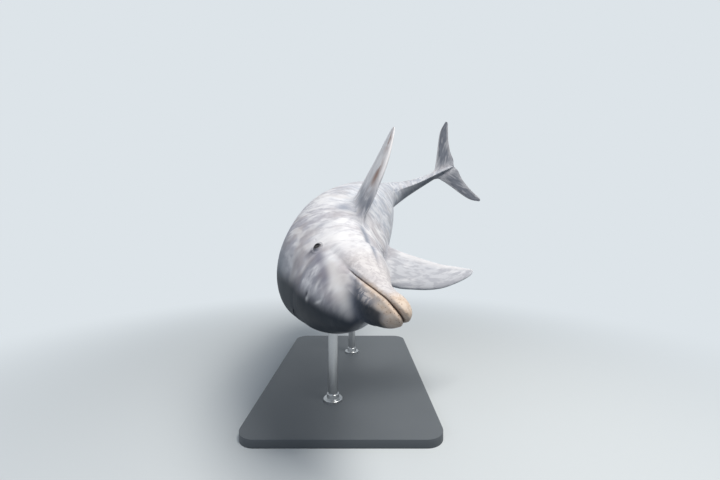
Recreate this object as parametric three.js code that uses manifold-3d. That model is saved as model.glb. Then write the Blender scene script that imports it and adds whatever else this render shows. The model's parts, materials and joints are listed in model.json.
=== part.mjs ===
// Bottlenose dolphin, life size, curled to its belly side and rolled over, on a plain display stand.
// Millimetres, +Z up. Origin: centre of the underside of the stand base. -Y is the front.
//
// The animal is first described straight: s runs back from the tip of the beak, y to the animal's
// right, z to its back. A solid field gives the skin there, rays find it, and a bending spine
// carries every point to the pose.
import * as THREE from 'three';
import Module from 'manifold-3d';

const wasm = await Module();
wasm.setup();

// ---------------------------------------------------------------- sizes
const BODY_LENGTH = 2188;        // beak tip to the notch of the flukes, along the spine
const CUT = 0.3;                 // gap between neighbouring solids
const RING = 34;                 // points around the body
const REACH = 260;               // no point of the body is farther than this from the spine
const HALVINGS = 34;             // steps of the search for the skin along a ray
const EDGE = 0.9;                // half thickness left along the edges of the fins

// Height of the back above the spine, depth of the belly below it, half width: [station, size].
const BACK = [[330, 168], [445, 187], [580, 192], [760, 201], [940, 202], [1165, 190], [1390, 158],
  [1615, 117], [1840, 77], [2020, 46], [2110, 28], [2160, 15], [2188, 7]];
const BELLY = [[330, 122], [445, 164], [580, 192], [760, 201], [940, 203], [1165, 191], [1390, 155],
  [1615, 110], [1840, 69], [2020, 41], [2110, 25], [2160, 13], [2188, 6]];
const WIDTH = [[330, 123], [445, 143], [580, 174], [760, 190], [940, 185], [1165, 164], [1390, 134],
  [1615, 95], [1840, 48], [2020, 24], [2110, 18], [2160, 13], [2188, 8]];
// Power of the cross-section: 2 is an ellipse. The throat is fuller by another half.
const KEEL = [[330, 1.92], [600, 2.0], [1100, 2.1], [1500, 1.95], [1850, 1.6], [2188, 1.7]];
const THROAT = { s: 500, reach: 190, power: 0.5 };

// Head: skull front, melon and beak.
const SKULL = { s: 360, front: 170, power: 1.85, underPower: 1.58 };
const MELON = { s: 291, z: 45, length: 112, width: 77, height: 78 };
const MELON_FRONT = { s: 214, z: 66, length: 107, width: 46, height: 58 };
const BEAK_TIP = { s: 70, power: 2.1 };
const BEAK_ROOT = 300;           // behind this the beak has sunk into the skull
const FILLET = { melon: 70, front: 40, cheek: 46, crease: 8 };
const BEAK_WIDTH = [[70, 36], [130, 42], [190, 54], [280, 74]];
const BEAK_TOP = [[70, 50], [130, 75], [190, 88], [280, 95]];
const BEAK_UNDER = [[70, 31], [130, 42], [190, 57], [280, 80]];

// Mouth line, height above the spine, from the tip of the beak to the corner of the mouth.
const MOUTH = [[-10, 9], [60, 5], [140, 3], [215, 8], [262, 17]];
const JAW_HINGE = 262;
const EYE = { s: 344, z: 18, out: 4.5, radius: 15 };

// Stations where one length of the body meets the next.
const NECK_START = 400;
const LENGTHS = [
  ['neck_throat', 400, 560, 6],
  ['chest', 560, 860, 8],
  ['abdomen', 860, 1180, 8],
  ['loin', 1180, 1480, 7],
  ['tail_stock_front', 1480, 1780, 7],
  ['tail_stock_rear', 1780, BODY_LENGTH, 12],
];

// Pose of the spine. Each zone bends [from, to, pitch, yaw, twist] in degrees; positive pitch curls
// the tail to the belly side, positive yaw swings it to the right.
const ZONES = [
  [355, 715, 36, 0, -2],
  [625, 985, -2, 7, -1],
  [985, 1435, 6, 3.4, 1],
  [1345, 1795, 38, 9.8, 1],
  [1705, 2065, 39, -3.2, 1],
  [1975, 2200, 16, 2, 0],
];
const HEAD_FRAME = { s: 400, at: [-4, -444, 495], axis: [-1.27, -1.996, 0.95] };

const FLIPPER = { chord: 1.07, thick: 0.17 };
// Length and root station; low is the root's angle below the side. Droop, feather and sweep turn
// the blade, in degrees, and hook bends its tip.
const FLIPPER_POSE = {
  left: { side: -1, length: 370, root: 525, low: 62, droop: 63, feather: -12, sweep: 6, hook: 0.92 },
  right: { side: 1, length: 384, root: 472, low: 39, droop: 52, feather: 41, sweep: -28, hook: 1.2 },
};
const FLUKE = { root: 2042, flare: 14, notch: 2192, tip: 2238, halfSpan: 280, droop: 19, thick: 0.11 };
const DORSAL = { front: 935, back: 1235, tip: 1290, height: 205, thick: 0.11 };

const BASE = { x: 620, y: 1000, z: 26, corner: 60 };
const RODS = {
  stand_rod_front: { x: -40, y: -270, radius: 17 },
  stand_rod_rear: { x: 15, y: 220, radius: 17 },
};

// ---------------------------------------------------------------- small tools
const rad = THREE.MathUtils.degToRad;
const mix = (a, b, t) => a + (b - a) * t;
const clamp = (x, a, b) => Math.min(Math.max(x, a), b);
const smooth = (a, b, x) => {
  const t = clamp((x - a) / (b - a), 0, 1);
  return t * t * (3 - 2 * t);
};

// A smooth curve through the knots of a table.
function profile(table, x) {
  const n = table.length;
  const v = clamp(x, table[0][0], table[n - 1][0]);
  let i = 0;
  while (i < n - 2 && v > table[i + 1][0]) i += 1;
  const slope = (k) => {
    const a = table[Math.max(k - 1, 0)];
    const b = table[Math.min(k + 1, n - 1)];
    return (b[1] - a[1]) / (b[0] - a[0]);
  };
  const [x0, y0] = table[i];
  const [x1, y1] = table[i + 1];
  const h = x1 - x0;
  const t = (v - x0) / h;
  const a = (1 + 2 * t) * (1 - t) * (1 - t) * y0 + t * t * (3 - 2 * t) * y1;
  return a + h * (t * (1 - t) * (1 - t) * slope(i) - t * t * (1 - t) * slope(i + 1));
}

// Union of two fields with a fillet k wide.
function blend(a, b, k) {
  const h = Math.max(k - Math.abs(a - b), 0) / k;
  return Math.min(a, b) - h * h * k * 0.25;
}

// ---------------------------------------------------------------- the field: negative inside
function trunk(s, y, z) {
  const high = z > 0 ? profile(BACK, s) : profile(BELLY, s);
  const wide = profile(WIDTH, s);
  const throat = z < 0 ? THROAT.power * Math.exp(-(((s - THROAT.s) / THROAT.reach) ** 2)) : 0;
  const n = profile(KEEL, s) + throat;
  let q = (Math.abs(y / wide) ** n + Math.abs(z / high) ** n) ** (1 / n);
  if (s < SKULL.s) {
    const t = (SKULL.s - s) / SKULL.front;
    const power = mix(SKULL.power, SKULL.underPower, smooth(20, -60, z));
    q = (q ** power + t ** power) ** (1 / power);
  }
  return (q - 1) * Math.min(high, wide);
}

function egg(shape, s, y, z) {
  const q = Math.hypot((s - shape.s) / shape.length, y / shape.width, (z - shape.z) / shape.height);
  return (q - 1) * Math.min(shape.width, shape.height);
}

function beak(s, y, z) {
  const at = Math.max(s, BEAK_TIP.s);
  const high = z > 0 ? profile(BEAK_TOP, at) : profile(BEAK_UNDER, at);
  let q = Math.hypot(y / profile(BEAK_WIDTH, at), z / high);
  if (s < BEAK_TIP.s) {
    const t = (BEAK_TIP.s - s) / BEAK_TIP.s;
    q = (q ** BEAK_TIP.power + t ** BEAK_TIP.power) ** (1 / BEAK_TIP.power);
  }
  q += Math.max(s - BEAK_ROOT, 0) / 40;
  return (q - 1) * BEAK_WIDTH[0][1];
}

function skin(s, y, z) {
  const melon = blend(egg(MELON, s, y, z), egg(MELON_FRONT, s, y, z), FILLET.front);
  const head = blend(trunk(s, y, z), melon, FILLET.melon);
  if (s > NECK_START) return head;
  const crease = mix(FILLET.cheek, FILLET.crease, smooth(-25, 20, z));
  return blend(head, beak(s, y, z), crease);
}

// The point where a ray from [s, y, z] leaves the body.
function rayOut([s, y, z], [ds, dy, dz]) {
  let near = 0;
  let far = REACH;
  for (let k = 0; k < HALVINGS; k += 1) {
    const t = (near + far) / 2;
    if (skin(s + ds * t, y + dy * t, z + dz * t) < 0) near = t;
    else far = t;
  }
  return [s + ds * near, y + dy * near, z + dz * near];
}

// The skin along a ray that leaves the spine at a station, leaning forward (90 degrees = square).
function rayHit(station, lean, angle) {
  const r = Math.sin(lean);
  return rayOut([station, 0, 0], [-Math.cos(lean), r * Math.cos(angle), r * Math.sin(angle)]);
}

// ---------------------------------------------------------------- the bending spine
const STEP = 20;
const frames = [];
{
  const axis = new THREE.Vector3(...HEAD_FRAME.axis);
  const turn = axis.length();
  const start = new THREE.Quaternion().setFromAxisAngle(axis.normalize(), turn);
  const back = new THREE.Vector3(1, 0, 0).applyQuaternion(start);
  const head = new THREE.Vector3(...HEAD_FRAME.at);
  const count = (BODY_LENGTH + 200) / STEP;
  let q = start.clone();
  let p = head.clone();
  for (let i = 0; i <= count; i += 1) {
    const s = i * STEP;
    if (s <= HEAD_FRAME.s) {
      frames.push({ p: head.clone().addScaledVector(back, s - HEAD_FRAME.s), q: start.clone() });
      continue;
    }
    const mid = s - STEP / 2;
    const bend = new THREE.Vector3();
    for (const [from, to, pitch, yaw, twist] of ZONES) {
      if (mid > from && mid < to) {
        const w = ((1 - Math.cos((2 * Math.PI * (mid - from)) / (to - from))) / (to - from)) * STEP;
        bend.add(new THREE.Vector3(rad(twist), rad(pitch), rad(yaw)).multiplyScalar(w));
      }
    }
    const angle = bend.length();
    const next = q.clone();
    if (angle > 0) next.multiply(new THREE.Quaternion().setFromAxisAngle(bend.normalize(), angle));
    const run = new THREE.Vector3(1, 0, 0).applyQuaternion(q);
    run.add(new THREE.Vector3(1, 0, 0).applyQuaternion(next)).normalize();
    p = p.clone().addScaledVector(run, STEP);
    q = next;
    frames.push({ p, q });
  }
}

function frameAt(s) {
  const x = clamp(s / STEP, 0, frames.length - 1.001);
  const i = Math.floor(x);
  const a = frames[i];
  const b = frames[i + 1];
  return { p: a.p.clone().lerp(b.p, x - i), q: a.q.clone().slerp(b.q, x - i) };
}

// Straight animal to pose.
function pose([s, y, z]) {
  const inside = Math.max(s, 0);
  const { p, q } = frameAt(inside);
  return new THREE.Vector3(s - inside, y, z).applyQuaternion(q).add(p).toArray();
}

// ---------------------------------------------------------------- solids
const solidOf = (points, triangles) => new wasm.Manifold(new wasm.Mesh({
  numProp: 3,
  vertProperties: new Float32Array(points.flat()),
  triVerts: new Uint32Array(triangles.flat()),
}));

const apart = (p, q) => Math.hypot(p[0] - q[0], p[1] - q[1], p[2] - q[2]);

// Rings of equal count, closed at both ends to a point; four corners split along the short way.
function loft(rings, place = (p) => p) {
  const n = rings[0].length;
  const centre = (ring) => [0, 1, 2].map((k) => ring.reduce((a, p) => a + p[k], 0) / n);
  const points = [centre(rings[0]), ...rings.flat(), centre(rings[rings.length - 1])];
  const last = points.length - 1;
  const id = (i, j) => 1 + i * n + (j % n);
  const triangles = [];
  for (let j = 0; j < n; j += 1) triangles.push([0, id(0, j + 1), id(0, j)]);
  for (let i = 0; i < rings.length - 1; i += 1) {
    for (let j = 0; j < n; j += 1) {
      const [a, b, c, d] = [id(i, j), id(i, j + 1), id(i + 1, j + 1), id(i + 1, j)];
      if (apart(points[a], points[c]) < apart(points[b], points[d])) triangles.push([a, b, c], [a, c, d]);
      else triangles.push([a, b, d], [b, c, d]);
    }
  }
  const end = rings.length - 1;
  for (let j = 0; j < n; j += 1) triangles.push([last, id(end, j), id(end, j + 1)]);
  return outward(points.map(place), triangles);
}

// Triangles turned so that the solid's volume is positive.
function outward(points, triangles) {
  let six = 0;
  for (const [a, b, c] of triangles) {
    const [p, q, r] = [points[a], points[b], points[c]];
    six += p[0] * (q[1] * r[2] - q[2] * r[1]) - p[1] * (q[0] * r[2] - q[2] * r[0])
      + p[2] * (q[0] * r[1] - q[1] * r[0]);
  }
  return solidOf(points, six > 0 ? triangles : triangles.map(([a, b, c]) => [a, c, b]));
}

const around = (j) => (2 * Math.PI * j) / RING;
// Rays fan forward over the face so that the steep melon and the beak tip are well covered.
const FACE = [[70, 4], [70, 15], [70, 30], [70, 48], [70, 66], [76, 78], [92, 84], [110, 84],
  [128, 82], [145, 78], [160, 73], [175, 69], [190, 66], [206, 63], [222, 61], [240, 60], [260, 60],
  [280, 62], [300, 66], [320, 71], [342, 78], [366, 85], [390, 90]];

// A ring with its points moved out from the spine.
const grown = (ring, grow) => ring.map(([s, y, z]) => {
  const out = 1 + grow / Math.hypot(y, z);
  return [s, y * out, z * out];
});
const ringAt = (s) => Array.from({ length: RING }, (_, j) => rayHit(s, Math.PI / 2, around(j)));
const faceRings = FACE.map(([s, lean]) => Array.from({ length: RING },
  (_, j) => rayHit(s, rad(lean), around(j))));

// The whole body in one piece, a little larger: what is cut back from the fins and the rods.
function bodySolid(grow) {
  const rings = [...faceRings];
  for (const [, from, to, steps] of LENGTHS) {
    for (let k = 0; k < steps; k += 1) rings.push(ringAt(mix(from, to, k / steps)));
  }
  rings.push(ringAt(BODY_LENGTH));
  return loft(rings.map((ring) => grown(ring, grow)), pose);
}

// A blade: closed sections from root to tip. edge(u) gives [leading point, trailing point] in the
// plane of the blade; the third coordinate is its thickness.
const FOIL = [[0, 0], [0.06, 0.52], [0.2, 0.88], [0.42, 1], [0.68, 0.66], [0.88, 0.27], [1, 0.05]];
function blade(edge, steps, thick) {
  const rings = [];
  for (let i = 0; i <= steps; i += 1) {
    const u = 1 - (1 - i / steps) ** 1.35;
    const [lead, trail] = edge(u);
    const chord = Math.hypot(trail[0] - lead[0], trail[1] - lead[1]);
    const half = Math.max((chord * thick) / 2, EDGE);
    const top = FOIL.map(([c, h]) => [mix(lead[0], trail[0], c), mix(lead[1], trail[1], c),
      Math.max(half * h, c > 0 ? EDGE : 0)]);
    const under = FOIL.slice(1).reverse().map(([c, h]) => [mix(lead[0], trail[0], c),
      mix(lead[1], trail[1], c), -Math.max(half * h, EDGE)]);
    rings.push([...top, ...under]);
  }
  return rings;
}

// ---------------------------------------------------------------- fins
const FLIPPER_LEAD = [[-0.3, -0.02], [0, -0.02], [0.2, -0.03], [0.35, 0], [0.5, 0.04], [0.65, 0.1],
  [0.8, 0.19], [0.9, 0.26], [0.97, 0.32], [1, 0.36]];
const FLIPPER_CHORD = [[-0.3, 0.38], [0, 0.38], [0.2, 0.38], [0.35, 0.35], [0.5, 0.31], [0.65, 0.255],
  [0.8, 0.185], [0.9, 0.125], [0.97, 0.07], [1, 0.022]];

function flipper({ side, length, root, low, droop, feather, sweep, hook }) {
  const edge = (u) => {
    const v = mix(-0.28, 1, u);
    const lead = profile(FLIPPER_LEAD, v) * length * hook;
    const chord = profile(FLIPPER_CHORD, v) * length * FLIPPER.chord;
    return [[lead, v * length], [lead + chord, v * length]];
  };
  const rings = blade(edge, 14, FLIPPER.thick);
  const { p, q } = frameAt(root);
  const turn = new THREE.Quaternion().setFromEuler(
    new THREE.Euler(rad(-side * droop), rad(feather), rad(side * sweep), 'ZYX'));
  const wide = profile(WIDTH, root);
  const deep = profile(BELLY, root);
  const shoulder = new THREE.Vector3(0, side * wide * Math.cos(rad(low)), -deep * Math.sin(rad(low)));
  return loft(rings, ([back, span, up]) => new THREE.Vector3(back, side * span, up)
    .applyQuaternion(turn).add(shoulder).applyQuaternion(q).add(p).toArray());
}

const FLUKE_LEAD = [[0, 0], [0.1, 0.08], [0.25, 0.21], [0.5, 0.41], [0.75, 0.62], [0.9, 0.79], [1, 1]];
// How far the trailing edge lies behind the notch station, in millimetres.
const FLUKE_TRAIL = [[0, -22], [0.035, -10], [0.08, -1], [0.15, 0], [0.35, 2], [0.6, 19], [0.8, 40],
  [0.93, 56], [0.98, 58], [1, 52]];

function fluke(side) {
  const { root, flare, notch, tip, halfSpan, droop, thick } = FLUKE;
  const edge = (u) => {
    const y = mix(2, halfSpan, u);
    const lead = root + profile(FLUKE_LEAD, u) * (tip - root) - flare * Math.exp(-y / 40);
    return [[lead, y], [notch + profile(FLUKE_TRAIL, u), y]];
  };
  const rings = blade(edge, 14, thick);
  const drop = (y) => -droop * (y / halfSpan) ** 2;
  return loft(rings, ([s, y, z]) => pose([s, side * y, z + drop(y)]));
}

function dorsalFin() {
  const { front, back, tip, height, thick } = DORSAL;
  const edge = (u) => {
    const v = mix(-0.25, 1, u);
    const up = Math.max(v, 0);
    const lead = front + (tip - 26 - front) * (0.42 * v + 0.58 * up ** 1.9);
    const trail = back - 95 * Math.sin(Math.min(up * 1.05, 1) * Math.PI * 0.62) ** 1.2
      + (tip - back + 92) * up ** 2.3;
    const z = profile(BACK, 1080) - 12 + v * height;
    return [[lead, z], [trail, z]];
  };
  const rings = blade(edge, 12, thick);
  return loft(rings, ([s, z, y]) => pose([s, y, z]));
}

// ---------------------------------------------------------------- head, jaw and eyes
function box(x0, x1, y0, y1, z0, z1) {
  const g = new THREE.BoxGeometry(x1 - x0, y1 - y0, z1 - z0);
  g.translate((x0 + x1) / 2, (y0 + y1) / 2, (z0 + z1) / 2);
  return fromGeometry(g);
}

// A three.js geometry as a solid, equal corners joined.
function fromGeometry(g) {
  const at = g.getAttribute('position');
  const index = g.index ? Array.from(g.index.array) : Array.from({ length: at.count }, (_, i) => i);
  const seen = new Map();
  const points = [];
  const of = (i) => {
    const p = [at.getX(i), at.getY(i), at.getZ(i)];
    const key = p.map((v) => Math.round(v * 1e4)).join();
    if (!seen.has(key)) {
      seen.set(key, points.length);
      points.push(p);
    }
    return seen.get(key);
  };
  const triangles = [];
  for (let i = 0; i < index.length; i += 3) {
    const t = [of(index[i]), of(index[i + 1]), of(index[i + 2])];
    if (new Set(t).size === 3) triangles.push(t);
  }
  return outward(points, triangles);
}

function mouthKnife() {
  const stations = Array.from({ length: 15 }, (_, i) => mix(-12, JAW_HINGE, i / 14));
  const ring = (s) => {
    const z = profile(MOUTH, s);
    return [[s, -200, z - CUT / 2], [s, 200, z - CUT / 2], [s, 200, z + CUT / 2], [s, -200, z + CUT / 2]];
  };
  return loft(stations.map(ring));
}

const eyeCentre = (side) => {
  const [s, y, z] = rayOut([EYE.s, 0, EYE.z], [0, side, 0]);
  const length = Math.hypot(y, z);
  const depth = EYE.radius - EYE.out;
  return [s, y - (y / length) * depth, z - (z / length) * depth];
};

function ball(centre, radius, across, down) {
  const g = new THREE.SphereGeometry(radius, across, down);
  g.translate(...centre);
  return fromGeometry(g);
}

// Straight solid to pose, corner by corner.
function bend(solid) {
  const { vertProperties, triVerts, numProp } = solid.getMesh();
  const points = [];
  for (let i = 0; i < vertProperties.length; i += numProp) {
    points.push(pose([vertProperties[i], vertProperties[i + 1], vertProperties[i + 2]]));
  }
  const triangles = [];
  for (let i = 0; i < triVerts.length; i += 3) {
    triangles.push([triVerts[i], triVerts[i + 1], triVerts[i + 2]]);
  }
  return solidOf(points, triangles);
}

const largest = (solid) => solid.decompose().sort((a, b) => b.volume() - a.volume())[0];

const parts = {};
{
  let front = loft([...faceRings, ringAt(NECK_START - CUT / 2)]);
  for (const [name, side] of [['eye_left', -1], ['eye_right', 1]]) {
    const centre = eyeCentre(side);
    parts[name] = bend(ball(centre, EYE.radius, 16, 10));
    front = front.subtract(ball(centre, EYE.radius + CUT, 16, 10));
  }
  const top = profile(MOUTH, JAW_HINGE);
  const wall = box(JAW_HINGE, JAW_HINGE + CUT, -220, 220, -240, top + CUT / 2);
  const pieces = front.subtract(mouthKnife()).subtract(wall).decompose();
  pieces.sort((a, b) => b.volume() - a.volume());
  parts.head = bend(pieces[0]);
  parts.lower_jaw = bend(pieces[1]);
}
for (const [name, from, to, steps] of LENGTHS) {
  const a = from + CUT / 2;
  const b = to === BODY_LENGTH ? to : to - CUT / 2;
  const rings = Array.from({ length: steps + 1 }, (_, k) => ringAt(mix(a, b, k / steps)));
  parts[name] = loft(rings, pose);
}

const clearance = bodySolid(CUT);
parts.dorsal_fin = largest(dorsalFin().subtract(clearance));
parts.flipper_left = largest(flipper(FLIPPER_POSE.left).subtract(clearance));
parts.flipper_right = largest(flipper(FLIPPER_POSE.right).subtract(clearance));
parts.fluke_left = largest(fluke(-1).subtract(clearance));
parts.fluke_right = largest(fluke(1).subtract(clearance));

// ---------------------------------------------------------------- stand
{
  const { x, y, z, corner } = BASE;
  const plate = new THREE.Shape();
  plate.moveTo(-x / 2 + corner, -y / 2);
  plate.absarc(x / 2 - corner, -y / 2 + corner, corner, -Math.PI / 2, 0);
  plate.absarc(x / 2 - corner, y / 2 - corner, corner, 0, Math.PI / 2);
  plate.absarc(-x / 2 + corner, y / 2 - corner, corner, Math.PI / 2, Math.PI);
  plate.absarc(-x / 2 + corner, -y / 2 + corner, corner, Math.PI, Math.PI * 1.5);
  const g = new THREE.ExtrudeGeometry(plate, { depth: z, bevelEnabled: false, curveSegments: 8 });
  parts.stand_base = fromGeometry(g);
}
for (const [name, { x, y, radius }] of Object.entries(RODS)) {
  const tall = 760;
  const g = new THREE.CylinderGeometry(radius, radius, tall, 32);
  g.rotateX(Math.PI / 2);
  g.translate(x, y, BASE.z + CUT + tall / 2);
  const pieces = fromGeometry(g).subtract(clearance).decompose();
  parts[name] = pieces.sort((a, b) => a.boundingBox().min[2] - b.boundingBox().min[2])[0];
}

// ---------------------------------------------------------------- the group
const COLOURS = {
  head: '#b9b8bf', lower_jaw: '#d8d5d3', neck_throat: '#cccbd1', chest: '#c6c5cc', abdomen: '#c3c3cb',
  loin: '#c0c1ca', tail_stock_front: '#b6bac5', tail_stock_rear: '#a7aebb', dorsal_fin: '#8a929d',
  fluke_left: '#8f9faf', fluke_right: '#8f9faf', flipper_left: '#9a97a0', flipper_right: '#b4bcc6',
  eye_left: '#231f20', eye_right: '#231f20', stand_base: '#4a4d50', stand_rod_front: '#8d9093',
  stand_rod_rear: '#8d9093',
};

const dolphin = new THREE.Group();
dolphin.name = 'bottlenose_dolphin';
for (const [name, colour] of Object.entries(COLOURS)) {
  const { vertProperties, triVerts, numProp } = parts[name].getMesh();
  const xyz = new Float32Array((vertProperties.length / numProp) * 3);
  for (let i = 0; i < xyz.length / 3; i += 1) {
    xyz.set(vertProperties.subarray(i * numProp, i * numProp + 3), i * 3);
  }
  const g = new THREE.BufferGeometry();
  g.setAttribute('position', new THREE.BufferAttribute(xyz, 3));
  g.setIndex(Array.from(triVerts));
  g.computeVertexNormals();
  const stand = name.startsWith('stand_');
  const eye = name.startsWith('eye_');
  const roughness = eye ? 0.08 : 0.42;
  const material = new THREE.MeshStandardMaterial({ color: colour, roughness, metalness: stand ? 0.6 : 0 });
  material.name = stand ? 'stand_metal' : `skin_${name}`;
  if (eye) material.name = 'eye';
  const mesh = new THREE.Mesh(g, material);
  mesh.name = name;
  dolphin.add(mesh);
}
export default dolphin;
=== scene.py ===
# %% [markdown]
# # A bottlenose dolphin on a display stand
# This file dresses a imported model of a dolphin, life size, that swims curled to its belly side.
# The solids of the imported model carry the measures. Here they get one unbroken skin, wet dark
# eyes, a painted base and brushed rods, then a floor, soft lamps and a camera.
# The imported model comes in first, because every other piece takes its place from it.

# %% Load the frame
import json
import math

import bpy
import numpy as np
from mathutils import Matrix, Vector, kdtree

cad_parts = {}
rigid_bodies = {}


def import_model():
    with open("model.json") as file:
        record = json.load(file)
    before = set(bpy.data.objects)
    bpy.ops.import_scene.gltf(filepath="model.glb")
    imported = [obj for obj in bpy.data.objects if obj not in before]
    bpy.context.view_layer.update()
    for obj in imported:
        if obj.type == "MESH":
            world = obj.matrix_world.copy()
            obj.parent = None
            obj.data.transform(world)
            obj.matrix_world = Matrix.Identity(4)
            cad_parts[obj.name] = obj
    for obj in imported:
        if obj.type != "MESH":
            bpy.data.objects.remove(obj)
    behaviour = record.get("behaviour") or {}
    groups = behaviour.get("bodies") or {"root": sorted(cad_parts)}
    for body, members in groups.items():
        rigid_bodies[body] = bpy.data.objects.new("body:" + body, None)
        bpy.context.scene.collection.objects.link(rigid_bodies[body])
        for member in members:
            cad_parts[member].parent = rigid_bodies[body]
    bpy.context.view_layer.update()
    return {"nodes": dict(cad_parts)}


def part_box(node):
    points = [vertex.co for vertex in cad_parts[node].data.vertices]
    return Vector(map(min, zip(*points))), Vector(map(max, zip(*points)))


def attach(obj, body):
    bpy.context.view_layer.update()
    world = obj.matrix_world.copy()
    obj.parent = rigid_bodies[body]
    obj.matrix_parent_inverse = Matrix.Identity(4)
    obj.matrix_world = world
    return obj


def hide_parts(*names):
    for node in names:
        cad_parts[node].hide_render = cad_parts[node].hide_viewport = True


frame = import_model()
scene = bpy.context.scene
scene.view_settings.view_transform = "Standard"

# %% [markdown]
# ## The camera
# The dolphin is met head on at its own height by somebody less than a metre from its face, so
# the lens is wide. A short lens close by makes the head large and the tail small, which no long
# lens from farther off would do.

# %% Camera
CAMERA_AT = (0.057, -1.420, 0.600)
camera_data = bpy.data.cameras.new("camera")
camera_data.lens = 16
camera_data.sensor_width = 36
camera_data.clip_start = 0.02
camera = bpy.data.objects.new("camera", camera_data)
camera.location = CAMERA_AT
camera.rotation_euler = (math.pi / 2, 0, 0)
scene.collection.objects.link(camera)
scene.camera = camera
print("camera at", CAMERA_AT, "lens", camera_data.lens)

# %% [markdown]
# ## The straight animal
# A curled animal is hard to measure, so it is described straight and bent afterwards. Three
# numbers, in millimetres, place a point: s runs back from the tip of the beak, y goes to the
# animal's right and z towards its back. Tables give the height of the back, the depth of the
# belly and the half width along s, as a taxidermist would take them with callipers. A smooth
# curve through each table keeps the outline free of corners.

# %% Measures of the body
MM = 0.001
BODY_END = 2188                                        # s of the notch between the flukes
# rows of s and, in turn, the height of the back, the depth of the belly, half the width, and how
# square the section is, where 2 makes an ellipse
BACK = [[330, 168], [445, 187], [580, 192], [760, 201], [940, 202], [1165, 190], [1390, 158],
        [1615, 117], [1840, 77], [2020, 46], [2110, 28], [2160, 15], [2188, 7]]
BELLY = [[330, 122], [445, 164], [580, 192], [760, 201], [940, 203], [1165, 191], [1390, 155],
         [1615, 110], [1840, 69], [2020, 41], [2110, 25], [2160, 13], [2188, 6]]
WIDTH = [[330, 123], [445, 143], [580, 174], [760, 190], [940, 185], [1165, 164], [1390, 134],
         [1615, 95], [1840, 48], [2020, 24], [2110, 18], [2160, 13], [2188, 8]]
KEEL = [[330, 1.92], [600, 2.0], [1100, 2.1], [1500, 1.95], [1850, 1.6], [2188, 1.7]]
# the beak, from its rounded tip back into the head, and the height of the mouth's line
BEAK_WIDTH = [[70, 36], [130, 42], [190, 54], [280, 74]]
BEAK_TOP = [[70, 50], [130, 75], [190, 88], [280, 95]]
BEAK_UNDER = [[70, 31], [130, 42], [190, 57], [280, 80]]
MOUTH = [[-10, 9], [60, 5], [140, 3], [215, 8], [262, 17]]


def through(table, x):
    """A smooth curve through the rows of a table, read at x."""
    knots, sizes = np.asarray(table, float).T
    last = len(knots) - 1
    v = np.clip(x, knots[0], knots[-1])
    i = np.clip(np.searchsorted(knots, v) - 1, 0, last - 1)
    before = np.maximum(np.arange(last + 1) - 1, 0)
    after = np.minimum(np.arange(last + 1) + 1, last)
    slope = (sizes[after] - sizes[before]) / (knots[after] - knots[before])
    gap = knots[i + 1] - knots[i]
    t = (v - knots[i]) / gap
    straight = (1 + 2 * t) * (1 - t) ** 2 * sizes[i] + t * t * (3 - 2 * t) * sizes[i + 1]
    return straight + gap * (t * (1 - t) ** 2 * slope[i] - t * t * (1 - t) * slope[i + 1])


def ease(a, b, x):
    """0 up to a, 1 from b on, and smooth between them; b may lie below a."""
    t = np.clip((x - a) / (b - a), 0, 1)
    return t * t * (3 - 2 * t)


def hump(x, width):
    """1 at zero, dying away over a width."""
    return np.exp(-(x / width) ** 2)


print("girth at the flipper:", round(2 * math.pi * float(through(WIDTH, 600))), "mm or so")

# %% [markdown]
# ## A field that is negative inside the flesh
# The melon, which is the round forehead, the beak and the trunk melt into each other. Modelling
# them by hand as one net of faces is possible, but the crease over the beak would wander. Three
# simple solids are written as distances instead, and where two of them come close a fillet is
# added. The fillet is narrow above the beak, where the real crease is sharp, and wide on the
# cheeks.

# %% Trunk, melon and beak as one field
DOME_FROM, DOME_LENGTH = 360, 170                      # the dome that closes the trunk in front
TIP_LENGTH = 70                                        # the rounded tip of the beak


def melt(a, b, width):
    """The union of two fields with a fillet."""
    near = np.maximum(width - np.abs(a - b), 0) / width
    return np.minimum(a, b) - near * near * width / 4


def trunk(s, y, z):
    """A tube of rounded sections, closed in front by a blunt dome."""
    high = np.where(z > 0, through(BACK, s), through(BELLY, s))
    wide = through(WIDTH, s)
    power = through(KEEL, s) + 0.5 * (z < 0) * hump(s - 500, 190)
    q = (np.abs(y / wide) ** power + np.abs(z / high) ** power) ** (1 / power)
    ahead = np.maximum(DOME_FROM - s, 0) / DOME_LENGTH
    blunt = 1.85 - 0.27 * ease(20, -60, z)
    q = np.where(s < DOME_FROM, (q ** blunt + ahead ** blunt) ** (1 / blunt), q)
    return (q - 1) * np.minimum(high, wide)


def melon(s, y, z):
    """Two egg shapes, each by its middle and its half axes along s, y and z: the bulk of the
    forehead, and its narrower front over the beak."""
    bulk = (np.sqrt(((s - 291) / 112) ** 2 + (y / 77) ** 2 + ((z - 45) / 78) ** 2) - 1) * 77
    front = (np.sqrt(((s - 214) / 107) ** 2 + (y / 46) ** 2 + ((z - 66) / 58) ** 2) - 1) * 46
    return melt(bulk, front, 40)


def beak(s, y, z):
    """An oval tube with a round tip, which closes inside the head from s = 300 on."""
    at = np.maximum(s, TIP_LENGTH)
    high = np.where(z > 0, through(BEAK_TOP, at), through(BEAK_UNDER, at))
    q = np.hypot(y / through(BEAK_WIDTH, at), z / high)
    ahead = np.maximum(TIP_LENGTH - s, 0) / TIP_LENGTH
    q = np.where(s < TIP_LENGTH, (q ** 2.1 + ahead ** 2.1) ** (1 / 2.1), q)
    return (q + np.maximum(s - 300, 0) / 40 - 1) * 37


def forehead(s, y, z):
    """The head without its beak."""
    return melt(trunk(s, y, z), melon(s, y, z), 70)


def flesh(s, y, z):
    """The whole body without fins. Behind s = 400 there is no beak to look at. The fillet at
    the beak is 8 mm wide above and 46 mm below."""
    head = forehead(s, y, z)
    crease = 46 - 38 * ease(-25, 20, z)
    return np.where(s > 400, head, melt(head, beak(s, y, z), crease))


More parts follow.
